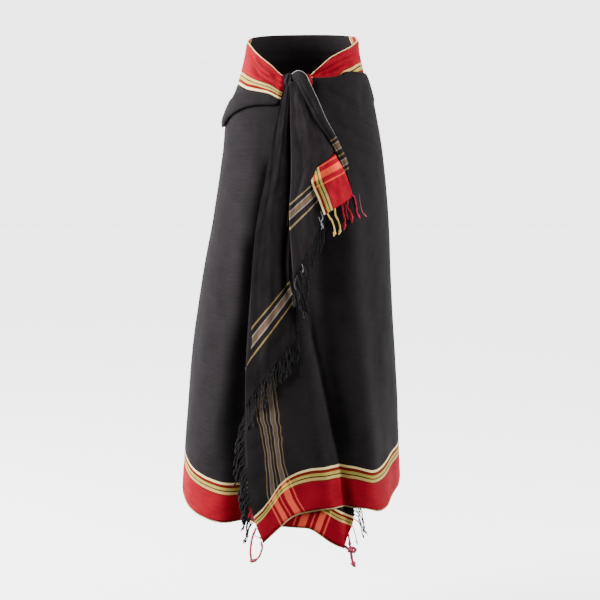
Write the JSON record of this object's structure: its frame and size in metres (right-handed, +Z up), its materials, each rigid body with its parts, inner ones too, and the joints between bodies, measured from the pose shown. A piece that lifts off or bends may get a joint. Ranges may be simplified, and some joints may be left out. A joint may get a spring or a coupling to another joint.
{
  "type": "kikoy",
  "caption": "Handwoven wrap cloth tied as a long skirt, knotted at the front waist with hanging fringed ends, black with a striped red border.",
  "frame": {"origin": "centre of the waist opening, level with the top edge at the sides", "axes": "+Z up along the wearer, the knotted front faces -Y, +X is the right of someone looking at the front"},
  "size_m": [0.5224, 0.4485, 1.2175],
  "materials": {
    "cloth": "matte handwoven cotton, charcoal with red border",
    "dark_fringe": "matte twisted cotton yarn, black",
    "red_fringe": "matte twisted cotton yarn, red"
  },
  "bodies": {
    "root": {"cloth": "cloth", "cascade_fringe": "dark_fringe", "fan_fringe": "dark_fringe", "border_corner_fringe": "red_fringe", "outer_end_fringe": "dark_fringe", "outer_corner_fringe": "red_fringe", "inner_end_fringe": "dark_fringe", "inner_corner_fringe": "red_fringe"}
  },
  "joints": []
}
